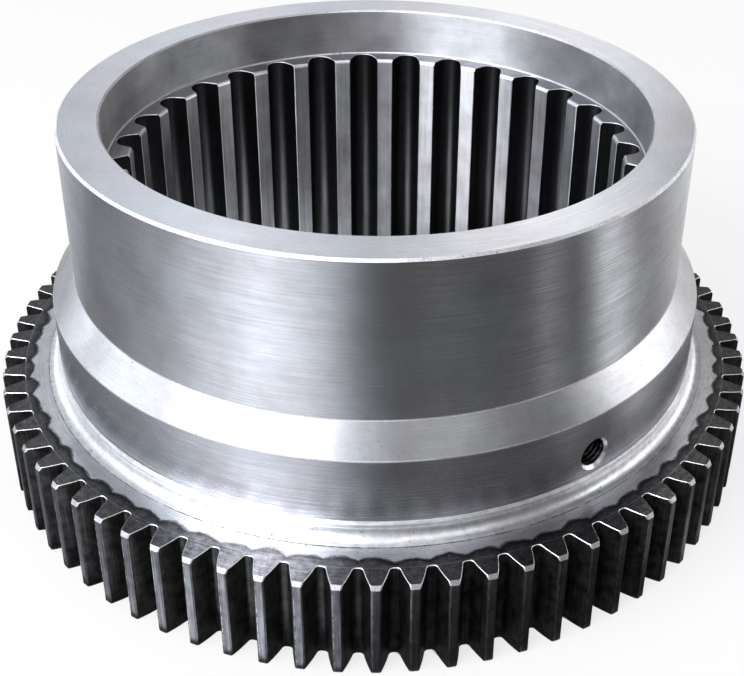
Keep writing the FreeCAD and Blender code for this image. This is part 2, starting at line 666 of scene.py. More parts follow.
@dataclass(frozen=True)
class TurnedBody:
    """The turned surfaces between the gear's face and the spline's face.

    Args:
        total_height: Height of the end face.
        gear_face: Height of the gear's face.
        spline_face: Height of the spline's upper face.
        collar_radius: Radius of the collar.
        hub_radius: Radius of the hub.
        foot_radius: Radius at the foot of the hub.
        fillet: Radius of the fillet at the foot.
        fillet_steps: Steps along the fillet.
        bore_radius: Radius of the counterbore.
        shoulder_foot: Height at which the cone starts.
        shoulder_top: Height at which the cone ends.
        ledge_top: Height of the ledge on the hub's foot.
        ledge_drop: Height of the ledge's slope.
        relief: Depth of the relief under the ledge.
        groove: Depth of the tool mark round the fillet.
        outer_chamfer: Chamfer round the end face.
        inner_chamfer: Chamfer of the counterbore's mouth.
        bore_corner: Corner between the counterbore and the spline's face.
        shoulder_break: Size of the broken edges above and below the cone.
        count: Points of each circle.
    """

    total_height: float
    gear_face: float
    spline_face: float
    collar_radius: float = 121.75
    hub_radius: float = 130.7
    foot_radius: float = 131.6
    fillet: float = 4.3
    fillet_steps: int = 10
    bore_radius: float = 106.1
    shoulder_foot: float = 71.5
    shoulder_top: float = 81.5
    ledge_top: float = 46.2
    ledge_drop: float = 0.9
    relief: float = 0.06
    groove: float = 0.22
    outer_chamfer: float = 0.9
    inner_chamfer: float = 0.7
    bore_corner: float = 0.5
    shoulder_break: float = 0.32
    count: int = 360

    def fillet_profile(self) -> list[tuple[float, float, Zone]]:
        """The fillet from the gear's face up to the foot.

        Returns:
            Radius, height and zone of each stretch.
        """
        centre_radius = self.foot_radius + self.fillet
        centre_height = self.gear_face + self.groove + self.fillet
        profile = []
        for step in range(1, self.fillet_steps + 1):
            angle = math.pi / 2 * step / self.fillet_steps
            radius = centre_radius - self.fillet * math.sin(angle)
            height = centre_height - self.fillet * math.cos(angle)
            profile.append((radius, height, Zone.FILLET))
        return profile

    def profile(self) -> list[tuple[float, float, Zone]]:
        """The whole profile, from the gear's face over the end face to the spline's face.

        Returns:
            Radius, height and zone of each stretch.
        """
        slope = math.atan2(self.shoulder_top - self.shoulder_foot, self.hub_radius - self.collar_radius)
        ring_edge = self.shoulder_break
        up_in = (ring_edge * math.cos(slope), ring_edge * math.sin(slope))
        fillet_edge = self.foot_radius + self.fillet
        relief_radius = self.foot_radius - self.relief
        mouth = self.total_height - self.inner_chamfer
        return [
            (fillet_edge + self.groove, self.gear_face, Zone.FLANGE),
            (fillet_edge + self.groove / 2, self.gear_face - self.groove, Zone.GROOVE),
            (fillet_edge, self.gear_face + self.groove, Zone.GROOVE),
            *self.fillet_profile(),
            (relief_radius, self.gear_face + self.groove + self.fillet + self.relief, Zone.FILLET),
            (relief_radius, self.ledge_top - self.ledge_drop, Zone.FILLET),
            (self.hub_radius, self.ledge_top, Zone.LEDGE),
            (self.hub_radius, self.shoulder_foot - ring_edge, Zone.HUB),
            (self.hub_radius - up_in[0], self.shoulder_foot + up_in[1], Zone.EDGE),
            (self.collar_radius + up_in[0], self.shoulder_top - up_in[1], Zone.CONE),
            (self.collar_radius, self.shoulder_top + ring_edge, Zone.EDGE),
            (self.collar_radius, self.total_height - self.outer_chamfer, Zone.COLLAR),
            (self.collar_radius - self.outer_chamfer, self.total_height, Zone.EDGE),
            (self.bore_radius + self.inner_chamfer, self.total_height, Zone.END_FACE),
            (self.bore_radius, mouth, Zone.EDGE),
            (self.bore_radius, self.spline_face + self.bore_corner, Zone.BORE),
            (self.bore_radius - self.bore_corner, self.spline_face, Zone.EDGE),
        ]

    def weave(self, skin: Skin, start_radius: float) -> tuple[list[int], list[int]]:
        """Adds the turned surfaces.

        Args:
            skin: The skin.
            start_radius: Radius of the first circle, on the gear's face.

        Returns:
            The first circle and the last one.
        """
        first = skin.circle(start_radius, self.gear_face, self.count)
        return first, skin.turn(self.profile(), first, self.count)


@dataclass(frozen=True)
class ScrewHole:
    """Radial tapped hole with a 45 degree mouth.

    Args:
        azimuth: Direction of the hole, from -Y towards +X.
        height: Height of its axis.
        surface_radius: Radius of the hub's wall.
        inner_radius: Radius at which the cutter ends, inside the bore.
        overrun: How far the cutter stands out of the hub's wall.
        core_radius: Radius of the thread's crests.
        thread_depth: Depth of the thread.
        thread_pitch: Pitch of the thread.
        mouth_radius: Radius of the mouth.
        rows_per_pitch: Rows of points for each turn of the thread.
        count: Points of each row.
    """

    azimuth: float = 35.5
    height: float = 54.5
    surface_radius: float = 130.7
    inner_radius: float = 93.0
    overrun: float = 1.6
    core_radius: float = 5.15
    thread_depth: float = 0.4
    thread_pitch: float = 1.75
    mouth_radius: float = 6.6
    rows_per_pitch: int = 10
    count: int = 48

    def thread_wave(self, phase: float) -> float:
        """Depth of the thread over its full depth.

        Args:
            phase: Place along one pitch, from 0 to 1.

        Returns:
            0 on the crest and 1 on the bottom.
        """
        crest = 0.25
        bottom = 0.125
        rise = (1 - crest - bottom) / 2
        if phase < crest:
            return 0.0
        if phase < crest + rise:
            return (phase - crest) / rise
        if phase < crest + rise + bottom:
            return 1.0
        return (1 - phase) / rise

    def wall(self, reach: float, angle: float) -> float:
        """Radius of the hole.

        Args:
            reach: Distance from the gear's axis.
            angle: Angle round the hole, in radians.

        Returns:
            The radius there.
        """
        phase = (reach / self.thread_pitch - angle / FULL_TURN) % 1
        threaded = self.core_radius + self.thread_depth * self.thread_wave(phase)
        mouth = self.mouth_radius + reach - self.surface_radius
        return max(threaded, mouth)

    def cutter(self) -> bpy.types.Object:
        """The hole as a solid.

        Returns:
            An object that is cut out of the gear and then removed.
        """
        step = self.thread_pitch / self.rows_per_pitch
        rows = math.ceil((self.surface_radius + self.overrun - self.inner_radius) / step)
        azimuth = math.radians(self.azimuth)
        outward = Vector((math.sin(azimuth), -math.cos(azimuth), 0))
        across = Vector((math.cos(azimuth), math.sin(azimuth), 0))
        shape = bmesh.new()
        last = None
        mouth_start = self.surface_radius - (self.mouth_radius - self.core_radius - self.thread_depth)
        for row in range(rows + 1):
            reach = self.inner_radius + row * step
            points = []
            for index in range(self.count):
                angle = FULL_TURN * index / self.count
                radius = self.wall(reach, angle)
                place = outward * reach + across * (radius * math.cos(angle))
                place.z = self.height + radius * math.sin(angle)
                points.append(shape.verts.new(place * MM))
            if last:
                zone = Zone.HOLE_MOUTH if reach > mouth_start else Zone.HOLE_THREAD
                for index in range(self.count):
                    following = (index + 1) % self.count
                    face = shape.faces.new((last[index], last[following], points[following], points[index]))
                    face.material_index = ZONES.index(zone)
            else:
                shape.faces.new(points)
            last = points
        shape.faces.new(last)
        bmesh.ops.recalc_face_normals(shape, faces=shape.faces)
        mesh = bpy.data.meshes.new("hole_cutter")
        shape.to_mesh(mesh)
        shape.free()
        return placed("hole_cutter", mesh)


class Grain(Enum):
    """Direction of the marks that the tool left."""

    AROUND = "around the axis on a wall"
    CONCENTRIC = "around the axis on a flat face"
    UPRIGHT = "along the axis"
    ROUGH = "none"


MIX_FIRST_COLOUR = 6
MIX_SECOND_COLOUR = 7
MIX_COLOUR = 2


class Bench:
    """Lays out the nodes of a material or a world."""

    def __init__(self, owner: bpy.types.ID, output: str = "OutputMaterial") -> None:
        """Clears the nodes of a material or a world and adds its output.

        Args:
            owner: The material or world.
            output: The output node's type name after "ShaderNode".
        """
        owner.use_nodes = True
        self.owner = owner
        self.tree = owner.node_tree
        self.tree.nodes.clear()
        self.output = self.node(output)

    def node(self, kind: str, *values: object, **settings: object) -> bpy.types.Node:
        """Adds a node.

        Args:
            kind: Its type name after "ShaderNode".
            values: What its first sockets get, in their order.
            settings: Properties to set.

        Returns:
            The node.
        """
        node = self.tree.nodes.new("ShaderNode" + kind)
        for key, value in settings.items():
            setattr(node, key, value)
        for socket, value in zip(node.inputs, values):
            self.feed(socket, value)
        return node

    def finish(self, surface: Socket) -> bpy.types.ID:
        """Links a shader to the output and gives the material or world back."""
        self.feed(self.output.inputs["Surface"], surface)
        return self.owner

    def feed(self, socket: Socket, value: object) -> None:
        """Links a socket to another one, or sets its value.

        Args:
            socket: The socket.
            value: A socket or a plain value.
        """
        if isinstance(value, Socket):
            self.tree.links.new(value, socket)
        else:
            socket.default_value = value

    def math(self, operation: str, *values: object) -> Socket:
        """Result of a Math node on up to three values."""
        return self.node("Math", *values, operation=operation).outputs[0]

    def vector(self, operation: str, *values: object) -> bpy.types.Node:
        """Vector Math node on up to three values; its outputs are a vector and a number."""
        return self.node("VectorMath", *values, operation=operation)

    def combine(self, x: object, y: object, z: object) -> Socket:
        """Vector of three values."""
        return self.node("CombineXYZ", x, y, z).outputs[0]

    def split(self, place: Socket) -> tuple[Socket, ...]:
        """X, Y and Z of a place."""
        return tuple(self.node("SeparateXYZ", place).outputs)

    def remap(self, value: object, span: Pair, result: Pair, smooth: bool = False) -> Socket:
        """Maps a span of values to another and clamps it.

        Args:
            value: The value.
            span: The span that it comes from.
            result: The span that it goes to.
            smooth: Whether it eases in and out.

        Returns:
            The mapped value.
        """
        curve = "SMOOTHSTEP" if smooth else "LINEAR"
        return self.node("MapRange", value, *span, *result, interpolation_type=curve).outputs[0]

    def noise(self, vector: Socket, scale: float, detail: float = 3.0, roughness: float = 0.55) -> Socket:
        """Noise value at a place.

        Args:
            vector: The place.
            scale: Scale of the noise.
            detail: Number of octaves.
            roughness: Weight of each octave over the one before.

        Returns:
            A value from 0 to 1.
        """
        node = self.node("TexNoise", vector)
        node.inputs["Scale"].default_value = scale
        node.inputs["Detail"].default_value = detail
        node.inputs["Roughness"].default_value = roughness
        return node.outputs[0]

    def share(self, first: Socket, second: Socket, share: float) -> Socket:
        """Sum of two values, the second of them weighted by a share and the first by the rest."""
        rest = self.math("MULTIPLY", first, 1 - share)
        return self.math("ADD", rest, self.math("MULTIPLY", second, share))

    def swing(self, vector: Socket, scale: float, detail: float) -> Socket:
        """Noise round zero, from -0.5 to 0.5."""
        return self.math("SUBTRACT", self.noise(vector, scale, detail), 0.5)

    def seen(self, share: float, usual: Socket, shown: Socket) -> Socket:
        """Shader that the camera, gloss and glass see in part as another one.

        Args:
            share: How much of the other one they see.
            usual: The usual shader.
            shown: The other shader.

        Returns:
            The mixed shader.
        """
        path = self.node("LightPath")
        direct = self.math("MAXIMUM", path.outputs["Is Camera Ray"], path.outputs["Is Glossy Ray"])
        direct = self.math("MAXIMUM", direct, path.outputs["Is Transmission Ray"])
        direct = self.math("MULTIPLY", direct, share)
        return self.node("MixShader", direct, usual, shown).outputs[0]

    def blend(self, factor: object, first: object, second: object) -> Socket:
        """Mix of two colours.

        Args:
            factor: 0 for the first and 1 for the second.
            first: One colour.
            second: The other colour.

        Returns:
            The mixed colour.
        """
        node = self.node("Mix", factor, data_type="RGBA")
        self.feed(node.inputs[MIX_FIRST_COLOUR], opaque(first))
        self.feed(node.inputs[MIX_SECOND_COLOUR], opaque(second))
        return node.outputs[MIX_COLOUR]


def opaque(colour: object) -> object:
    """A colour with its alpha; a socket stays as it is."""
    return (*colour, 1.0) if isinstance(colour, tuple) and len(colour) == 3 else colour


BROAD_SHARE = 0.15
BROAD_SCALE = 0.22
WAVER_SCALE = 30.0
TYPICAL_RADIUS = 0.125
MARKS_SPAN = (0.35, 0.65)
MIDDLE_SPAN = (0.4, 0.6)
SPECK_SPAN = (0.68, 0.73)
SPECK_COLOUR = (0.04, 0.04, 0.045)
SPECK_SHARE = 0.9
QUARTER_TURN = 0.25
USUAL_SCRATCHES = 0.7


@dataclass(frozen=True)
class HeatTint:
    """Dark skin that hardening left on the teeth, with a scalloped inner border and a painted highlight on
    the front teeth's tops.

    Args:
        teeth: Number of teeth.
        tooth_azimuth: Azimuth of a tooth, from the X axis.
        border: Radius of the scallops' points, over the gaps.
        dip: How far the border reaches inwards over each tooth.
        fade: Width over which the tint sets in.
        waver: How far the border strays over a few millimetres.
        sway: How far it strays over the width of a tooth or two.
        ragged: How far the scratches fray the line along it.
        waver_scale: Scale of the noise that moves the border by the waver.
        sway_scale: Scale of the noise that moves it by the sway.
        scratch_scale: Scale of the scratches' noise.
        blotch_scale: Scale of the blotches' noise.
        nick_scale: Scale of the nicks' noise.
        line_scale: Scale of the noise that changes the line's width.
        tooth_colour: Colour of the teeth's tops.
        halo: Width over which the border's shade dies away outwards.
        shade: Strength of that shade at the border.
        root_radius: Radius at which the teeth's tops begin.
        arc_colour: Colour of the line there.
        arc_width: Half the width of that line.
        arc_share: Strength of that line.
        line_colour: Colour of the line along the border.
        line_width: Half the width of that line where it is widest.
        line_share: Strength of that line.
        nick_colour: Colour of small nicks in the tinted steel.
        nick_span: Noise from which a nick sets in, and at which it is bare.
        strength_span: Weakest and strongest mix of marks, scratches and blotches.
        strength: Factor on the colour at each of them.
        shares: Shares of marks, scratches and blotches in that mix.
        highlight_azimuth: Azimuth of the painted highlight on the teeth's tops, where the key light's
            reflection falls, from the X axis.
        highlight_spread: Angle over which the painted highlight fades out, either way.
        highlight_colour: Colour of the teeth's tops at the middle of the painted highlight.
        highlight_shade: Share of the border's shade that is left under the painted highlight.
        highlight_line: Share of the border's line that is left under the painted highlight.
    """

    teeth: int
    tooth_azimuth: float
    border: float = 142.75
    dip: float = 1.8
    fade: float = 0.4
    waver: float = 1.0
    sway: float = 2.0
    ragged: float = 3.0
    waver_scale: float = 180.0
    sway_scale: float = 70.0
    scratch_scale: float = 2600.0
    blotch_scale: float = 500.0
    nick_scale: float = 1500.0
    line_scale: float = 40.0
    tooth_colour: Colour = (0.07, 0.07, 0.074)
    halo: float = 3.2
    shade: float = 0.9
    root_radius: float = 145.2
    arc_colour: Colour = (0.3, 0.3, 0.31)
    arc_width: float = 0.22
    arc_share: float = 0.5
    line_colour: Colour = (0.015, 0.015, 0.018)
    line_width: float = 1.25
    line_share: float = 0.95
    nick_colour: Colour = (0.6, 0.6, 0.61)
    nick_span: Pair = (0.69, 0.74)
    strength_span: Pair = (0.58, 0.83)
    strength: Pair = (0.4, 1.8)
    shares: tuple[float, float, float] = (0.3, 0.6, 0.5)
    highlight_azimuth: float = -106.0
    highlight_spread: float = 19.0
    highlight_colour: Colour = (0.21, 0.21, 0.218)
    highlight_shade: float = 0.3
    highlight_line: float = 0.45

    def past_border(self, bench: Bench, place: Socket) -> tuple[Socket, Socket, Socket]:
        """Distance past the border.

        Args:
            bench: The material's bench.
            place: Object place, in metres.

        Returns:
            Millimetres outside the border, the radius in millimetres and the azimuth in radians.
        """
        x, y, _ = bench.split(place)
        angle = bench.math("ARCTAN2", y, x)
        turned = bench.math("SUBTRACT", angle, math.radians(self.tooth_azimuth))
        wave = bench.math("ABSOLUTE", bench.math("COSINE", bench.math("MULTIPLY", turned, self.teeth / 2)))
        squares = bench.math("ADD", bench.math("MULTIPLY", x, x), bench.math("MULTIPLY", y, y))
        radius = bench.math("MULTIPLY", bench.math("SQRT", squares), 1 / MM)
        stray = bench.swing(place, self.waver_scale, detail=4.0)
        stray = bench.math("MULTIPLY", stray, 2 * self.waver)
        sway = bench.swing(place, self.sway_scale, detail=0.0)
        stray = bench.math("MULTIPLY_ADD", sway, 2 * self.sway, stray)
        border = bench.math("SUBTRACT", self.border, bench.math("MULTIPLY", wave, self.dip))
        return bench.math("SUBTRACT", radius, bench.math("ADD", border, stray)), radius, angle

    def paint(self, bench: Bench, place: Socket, colour: Socket, grain: Socket) -> Socket:
        """Lays the tint over a colour.

        Args:
            bench: The material's bench.
            place: Object place, in metres.
            colour: Colour of the plain steel.
            grain: Tool marks, from 0 to 1.

        Returns:
            The tinted colour.
        """
        past, radius, angle = self.past_border(bench, place)
        # Painted highlight: round one azimuth at the front, where the key light's reflection falls on the
        # face, the teeth's tops are painted lighter and the border's shade and line are weaker.
        aside = bench.math("ABSOLUTE", bench.math("SUBTRACT", angle, math.radians(self.highlight_azimuth)))
        painted_highlight = bench.remap(aside, (0.0, math.radians(self.highlight_spread)), (1.0, 0.0), smooth=True)
        inside = bench.remap(past, (0.0, self.fade), (0.0, 1.0), smooth=True)
        marks_share, scratch_share, blotch_share = self.shares
        scratches = bench.noise(place, self.scratch_scale, detail=5.0, roughness=0.75)
        scratches = bench.math("MULTIPLY", scratches, scratch_share)
        scratches = bench.math("MULTIPLY_ADD", grain, marks_share, scratches)
        blotches = bench.noise(place, self.blotch_scale, detail=4.0, roughness=0.65)
        scratches = bench.math("MULTIPLY_ADD", blotches, blotch_share, scratches)
        typical = bench.blend(painted_highlight, self.tooth_colour, self.highlight_colour)
        strength = bench.remap(scratches, self.strength_span, self.strength)
        skin = bench.vector("MULTIPLY", typical, bench.combine(strength, strength, strength)).outputs[0]
        arc = bench.math("ABSOLUTE", bench.math("SUBTRACT", radius, self.root_radius))
        arc = bench.remap(arc, (0.0, self.arc_width), (self.arc_share, 0.0))
        skin = bench.blend(arc, skin, self.arc_colour)
        shade = bench.remap(past, (0.0, self.halo), (self.shade, 0.0), smooth=True)
        shade = bench.math("MULTIPLY", shade, bench.remap(painted_highlight, (0.0, 1.0), (1.0, self.highlight_shade)))
        skin = bench.blend(shade, skin, self.line_colour)
        nicks = bench.noise(place, self.nick_scale, detail=2.0)
        skin = bench.blend(bench.remap(nicks, self.nick_span, (0.0, 1.0)), skin, self.nick_colour)
        tinted = bench.blend(inside, colour, skin)
        ragged = bench.math("SUBTRACT", scratches, USUAL_SCRATCHES)
        ragged = bench.math("ABSOLUTE", bench.math("MULTIPLY_ADD", ragged, self.ragged, past))
        width = bench.noise(place, self.line_scale, detail=1.0)
        width = bench.remap(width, MIDDLE_SPAN, (0.5 * self.line_width, self.line_width))
        line = bench.math("DIVIDE", ragged, width)
        line = bench.remap(line, (0.0, 1.0), (self.line_share, 0.0), smooth=True)
        line = bench.math("MULTIPLY", line, bench.remap(painted_highlight, (0.0, 1.0), (1.0, self.highlight_line)))
        return bench.blend(line, tinted, self.line_colour)


@dataclass(frozen=True)
class SteelFinish:
    """How one zone's steel was finished.

    Args:
        name: The material's name.
        pale: Colour of its lightest places.
        deep: Colour of its darkest places.
        roughness: Lowest and highest roughness.
        anisotropy: How far gloss is drawn out across the marks.
        grain: Direction of the marks.
        pitch: Distance from one mark to the next, in millimetres.
        length: Length of a mark, in millimetres.
        depth: Depth of the marks' bump, in millimetres.
        mottle: Size of the stains, in millimetres.
        mottle_share: How much of the colour's span the stains take.
        contrast: Half the span of the marks' noise that goes from the darkest to the lightest.
        waver: How far a mark strays from its circle, in millimetres.
        cast: Two colours that the stains multiply the steel by.
        specks: Size of small dark specks, in millimetres; 0 for none.
        metal: How metallic it is; less where a dull skin of oxide covers it.
        tint: Heat tint over the finish, if it has one.
    """

    name: str
    pale: Colour
    deep: Colour
    roughness: Pair
    anisotropy: float = 0.0
    grain: Grain = Grain.AROUND
    pitch: float = 0.6
    length: float = 26.0
    depth: float = 0.01
    mottle: float = 14.0
    mottle_share: float = 0.35
    contrast: float = 0.09
    waver: float = 0.25
    cast: tuple[Colour, Colour] = ((1.0, 0.985, 1.02), (0.965, 1.0, 1.03))
    specks: float = 0.0
    metal: float = 1.0
    tint: HeatTint | None = None

    def marks_place(self, bench: Bench, place: Socket) -> Socket:
        """Place that is stretched along the marks.

        Args:
            bench: The material's bench.
            place: Object place, in metres.

        Returns:
            The stretched place, in steps of one mark.
        """
        across = 1 / (self.pitch * MM)
        along = 1 / (self.length * MM)
        if self.grain is Grain.UPRIGHT:
            return bench.vector("MULTIPLY", place, (across, across, along)).outputs[0]
        if self.grain is Grain.ROUGH:
            return bench.vector("MULTIPLY", place, (across, across, across)).outputs[0]
        flat = bench.vector("MULTIPLY", place, (1.0, 1.0, 0.0)).outputs[0]
        radius = bench.vector("LENGTH", flat).outputs[1]
        unit = bench.vector("NORMALIZE", flat).outputs[0]
        lap = TYPICAL_RADIUS * along
        turned = bench.vector("MULTIPLY", unit, (lap, lap, 0.0)).outputs[0]
        height = bench.split(place)[2]
        rise = bench.math("ADD" if self.grain is Grain.CONCENTRIC else "SUBTRACT", height, radius)
        stray = bench.swing(place, WAVER_SCALE, detail=1.0)
        rise = bench.math("MULTIPLY_ADD", stray, 2 * self.waver * MM, rise)
        lift = bench.combine(0.0, 0.0, bench.math("MULTIPLY", rise, across))
        return bench.vector("ADD", turned, lift).outputs[0]

    def material(self) -> bpy.types.Material:
        """The finish as a material.

        Returns:
            The material.
        """
        bench = Bench(bpy.data.materials.new(self.name))
        shader = bench.node("BsdfPrincipled")
        place = bench.node("TexCoord").outputs["Object"]
        marks_place = self.marks_place(bench, place)
        fine = bench.noise(marks_place, 1.0, detail=3.0, roughness=0.75)
        broad = bench.noise(marks_place, BROAD_SCALE, detail=2.0)
        stains = bench.noise(place, 1 / (self.mottle * MM), detail=5.0, roughness=0.6)
        marks = bench.share(fine, broad, BROAD_SHARE)
        shade = bench.share(marks, stains, self.mottle_share)
        span = (0.5 - self.contrast, 0.5 + self.contrast)
        colour = bench.blend(bench.remap(shade, span, (0.0, 1.0)), self.deep, self.pale)
        hue = bench.noise(place, 0.5 / (self.mottle * MM), detail=2.0)
        cast = bench.blend(bench.remap(hue, MIDDLE_SPAN, (0.0, 1.0)), *self.cast)
        colour = bench.vector("MULTIPLY", colour, cast).outputs[0]
        if self.specks:
            speck = bench.noise(place, 1 / (self.specks * MM), detail=2.0)
            speck = bench.remap(speck, SPECK_SPAN, (0.0, SPECK_SHARE))
            colour = bench.blend(speck, colour, SPECK_COLOUR)
        if self.tint:
            colour = self.tint.paint(bench, place, colour, fine)
        bench.feed(shader.inputs["Base Color"], colour)
        shader.inputs["Metallic"].default_value = self.metal
        roughness = bench.remap(marks, MARKS_SPAN, self.roughness[::-1])
        bench.feed(shader.inputs["Roughness"], roughness)
        if self.anisotropy:
            shader.inputs["Anisotropic"].default_value = self.anisotropy
            shader.inputs["Anisotropic Rotation"].default_value = QUARTER_TURN
            tangent = bench.node("Tangent", direction_type="RADIAL", axis="Z")
            bench.feed(shader.inputs["Tangent"], tangent.outputs[0])
        bump = bench.node("Bump")
        bump.inputs["Strength"].default_value = 1.0
        bump.inputs["Distance"].default_value = self.depth * MM
        bench.feed(bump.inputs["Height"], fine)
        bench.feed(shader.inputs["Normal"], bump.outputs[0])
        return bench.finish(shader.outputs[0])


GEAR_TOOTH_AZIMUTH = -90.28
GEAR_TEETH = 75
SPLINE_TOOTH_AZIMUTH = 88.54
SPLINE_TEETH = 31

GEAR_ROW = ToothRow(
    side=1,
    teeth=GEAR_TEETH,
    module=4.0,
    pressure_angle=20.0,
    root_radius=145.25,
    root_corner=1.5,
    first_gap=GEAR_TOOTH_AZIMUTH + 180.0 / GEAR_TEETH,
    bevel=0.34,
)
SPLINE_ROW = ToothRow(
    side=-1,
    teeth=SPLINE_TEETH,
    module=6.5,
    pressure_angle=25.0,
    root_radius=104.7,
    root_corner=None,
    first_gap=SPLINE_TOOTH_AZIMUTH + 180.0 / SPLINE_TEETH,
    bevel=0.2,
    corner_steps=12,
)
TINT = HeatTint(teeth=GEAR_TEETH, tooth_azimuth=GEAR_TOOTH_AZIMUTH)

FINISHES = {
    Zone.COLLAR: SteelFinish(
        "turned_collar", (0.745, 0.75, 0.782), (0.475, 0.479, 0.503), (0.2, 0.28),
        anisotropy=0.8, mottle=18.0, contrast=0.12,
    ),
    Zone.HUB: SteelFinish(
        "turned_hub", (0.58, 0.585, 0.62), (0.33, 0.334, 0.356), (0.24, 0.32),
        anisotropy=0.85, depth=0.008, mottle=18.0, contrast=0.14,
    ),
    Zone.CONE: SteelFinish(
        "turned_cone", (0.76, 0.77, 0.79), (0.59, 0.595, 0.625), (0.16, 0.27),
        anisotropy=0.5, depth=0.006, mottle=7.0, mottle_share=0.5, contrast=0.17, specks=0.6,
    ),
    Zone.END_FACE: SteelFinish(
        "faced_end", (0.68, 0.69, 0.725), (0.61, 0.62, 0.65), (0.25, 0.33),
        anisotropy=0.5, grain=Grain.CONCENTRIC, depth=0.004, mottle=22.0, mottle_share=0.7,
    ),
    Zone.EDGE: SteelFinish(
        "broken_edge_steel", (0.8, 0.8, 0.818), (0.5, 0.5, 0.508), (0.4, 0.55),
        grain=Grain.ROUGH, specks=1.2,
    ),
    Zone.LEDGE: SteelFinish(
        "foot_ledge_steel", (0.6, 0.6, 0.615), (0.34, 0.34, 0.345), (0.35, 0.5),
        mottle=3.0, specks=0.9,
    ),
    Zone.GROOVE: SteelFinish(
        "foot_groove_steel", (0.6, 0.6, 0.61), (0.12, 0.12, 0.122), (0.4, 0.55),
        grain=Grain.ROUGH, pitch=3.0, mottle=6.0,
    ),
    Zone.FILLET: SteelFinish(
        "turned_fillet", (0.85, 0.853, 0.866), (0.62, 0.621, 0.628), (0.3, 0.42),
        anisotropy=0.5, grain=Grain.CONCENTRIC, depth=0.02, mottle=3.0, mottle_share=0.5, specks=1.0,
    ),
    Zone.FLANGE: SteelFinish(
        "faced_gear_side", (0.64, 0.643, 0.654), (0.42, 0.422, 0.428), (0.24, 0.36),
        anisotropy=0.5, grain=Grain.CONCENTRIC, mottle=6.0, contrast=0.13, specks=0.9, tint=TINT,
    ),
    Zone.UNDERSIDE: SteelFinish(
        "faced_underside", (0.6, 0.61, 0.63), (0.46, 0.465, 0.48), (0.32, 0.44),
        anisotropy=0.5, grain=Grain.CONCENTRIC,
    ),
    Zone.TIP_CHAMFER: SteelFinish(
        "chamfered_tip", (0.8, 0.8, 0.81), (0.3, 0.3, 0.31), (0.35, 0.5),
        grain=Grain.ROUGH, pitch=0.4, contrast=0.1,
    ),
    Zone.LAND: SteelFinish(
        "dark_tooth_land", (0.25, 0.25, 0.268), (0.07, 0.07, 0.076), (0.32, 0.45),
        grain=Grain.UPRIGHT, mottle=5.0, contrast=0.12,
    ),
    # Bright strip on one side of each tooth's land and round the teeth's lower edge: partly wear, partly a
    # painted edge highlight.
    Zone.TOOTH_EDGE: SteelFinish(
        "worn_lit_tooth_edge", (0.75, 0.75, 0.76), (0.08, 0.08, 0.085), (0.4, 0.55),
        grain=Grain.ROUGH, pitch=2.5, mottle=5.0, contrast=0.06,
    ),
    Zone.TIP_BEVEL: SteelFinish(
        "dark_tip_bevel", (0.14, 0.14, 0.15), (0.05, 0.05, 0.055), (0.35, 0.5),
        grain=Grain.UPRIGHT, mottle=4.0,
    ),
    Zone.FLANK: SteelFinish(
        "dark_tooth_flank", (0.05, 0.049, 0.048), (0.005, 0.005, 0.006), (0.28, 0.46),
        grain=Grain.UPRIGHT, mottle=4.0, mottle_share=0.5, metal=0.7,
    ),
    Zone.BORE: SteelFinish(
        "turned_counterbore", (0.57, 0.573, 0.59), (0.3, 0.302, 0.312), (0.44, 0.5),
        anisotropy=0.95, mottle=22.0, mottle_share=0.75, contrast=0.17,
    ),
    Zone.SPLINE_FACE: SteelFinish(
        "faced_spline_side", (0.52, 0.52, 0.54), (0.38, 0.38, 0.39), (0.32, 0.42),
        grain=Grain.CONCENTRIC, mottle=6.0,
    ),
    Zone.SPLINE_LEAD: SteelFinish("spline_lead_steel", (0.78, 0.78, 0.8), (0.6, 0.6, 0.61), (0.3, 0.4)),
    Zone.SPLINE_LAND: SteelFinish(
        "spline_land_steel", (0.56, 0.562, 0.577), (0.22, 0.22, 0.227), (0.42, 0.5),
        anisotropy=0.95, grain=Grain.UPRIGHT, pitch=1.2, length=45.0, mottle=12.0, mottle_share=0.45,
        contrast=0.2,
    ),
    Zone.SPLINE_FLANK: SteelFinish(
        "broached_flank", (0.09, 0.09, 0.093), (0.025, 0.025, 0.027), (0.28, 0.4),
        grain=Grain.UPRIGHT, pitch=3.0, length=90.0, mottle=8.0, mottle_share=0.2, contrast=0.2,
    ),
    Zone.HOLE_MOUTH: SteelFinish(
        "countersunk_mouth", (0.85, 0.85, 0.86), (0.65, 0.65, 0.66), (0.22, 0.32), grain=Grain.ROUGH
    ),
    # Painted shade: the thread inside the hole is painted near black, as the hole's inside lies in shade.
    Zone.HOLE_THREAD: SteelFinish(
        "tapped_thread_painted_shade", (0.04, 0.04, 0.041), (0.01, 0.01, 0.011), (0.2, 0.32), grain=Grain.ROUGH
    ),
}


